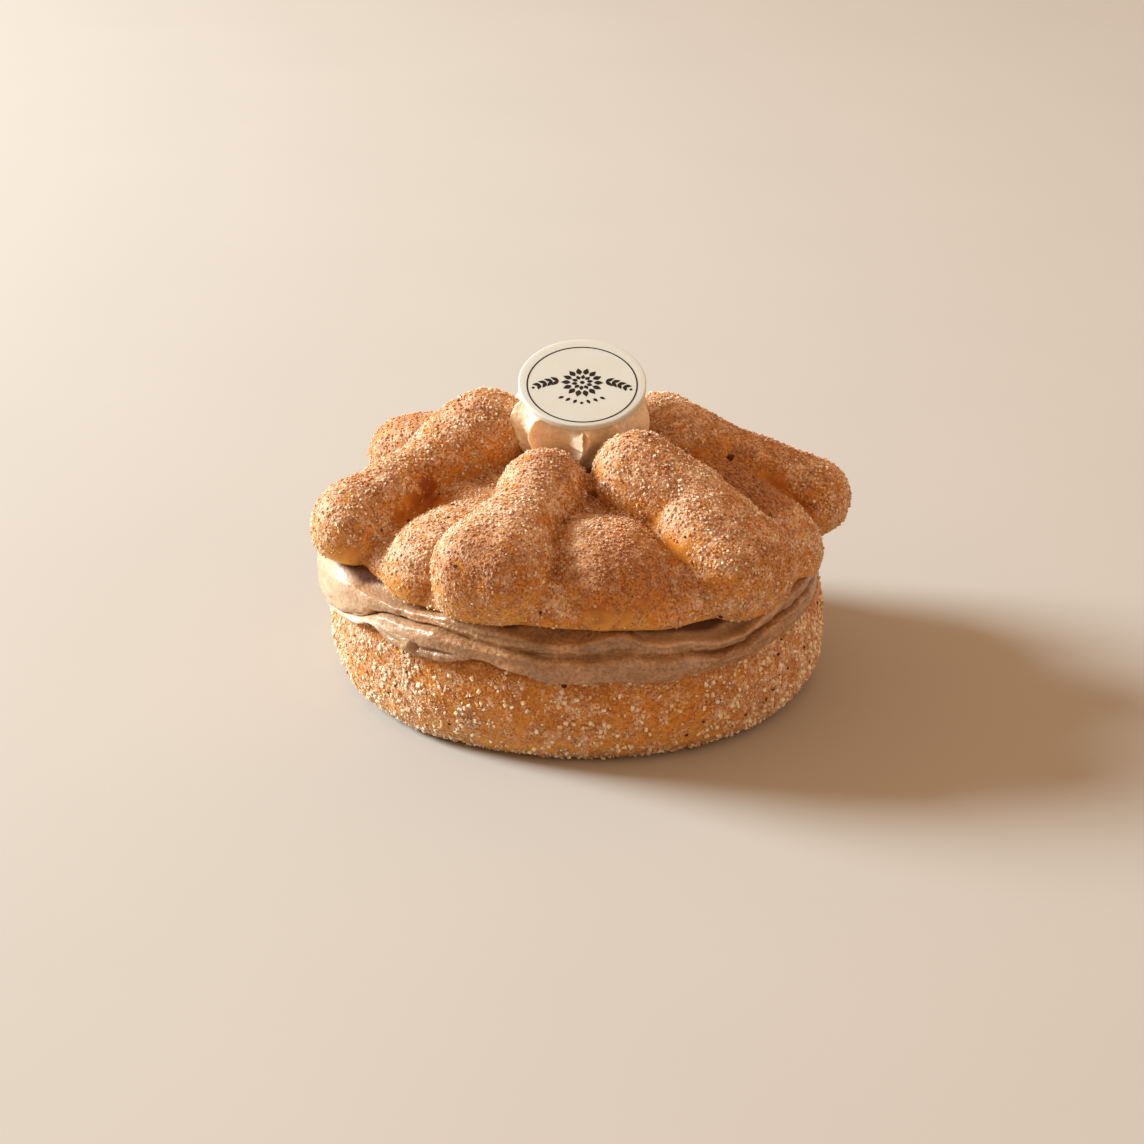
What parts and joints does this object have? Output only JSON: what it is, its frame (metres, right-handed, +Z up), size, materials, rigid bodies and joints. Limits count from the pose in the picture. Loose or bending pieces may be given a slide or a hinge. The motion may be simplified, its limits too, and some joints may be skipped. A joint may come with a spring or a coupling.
{
  "type": "cream-filled pan de muerto",
  "caption": "Round sweet roll with crossed dough bones, sliced through for a cream filling, topped with a piped rosette and a leaning chocolate disc.",
  "frame": {"origin": "centre of the flat underside of the lower half", "axes": "+Z up, -Y towards the front that the disc leans to, +X to the right"},
  "size_m": [0.1269, 0.1215, 0.0787],
  "materials": {
    "lower_crust": "sugared golden crust",
    "upper_crust": "sugared golden crust",
    "filling": "satin whipped cream",
    "rosette": "satin piped cream",
    "disc": "satin white chocolate"
  },
  "bodies": {
    "root": {"bread_base": "lower_crust", "cream_filling": "filling", "bread_top": "upper_crust", "chocolate_disc": "disc", "cream_rosette": "rosette"}
  },
  "joints": []
}
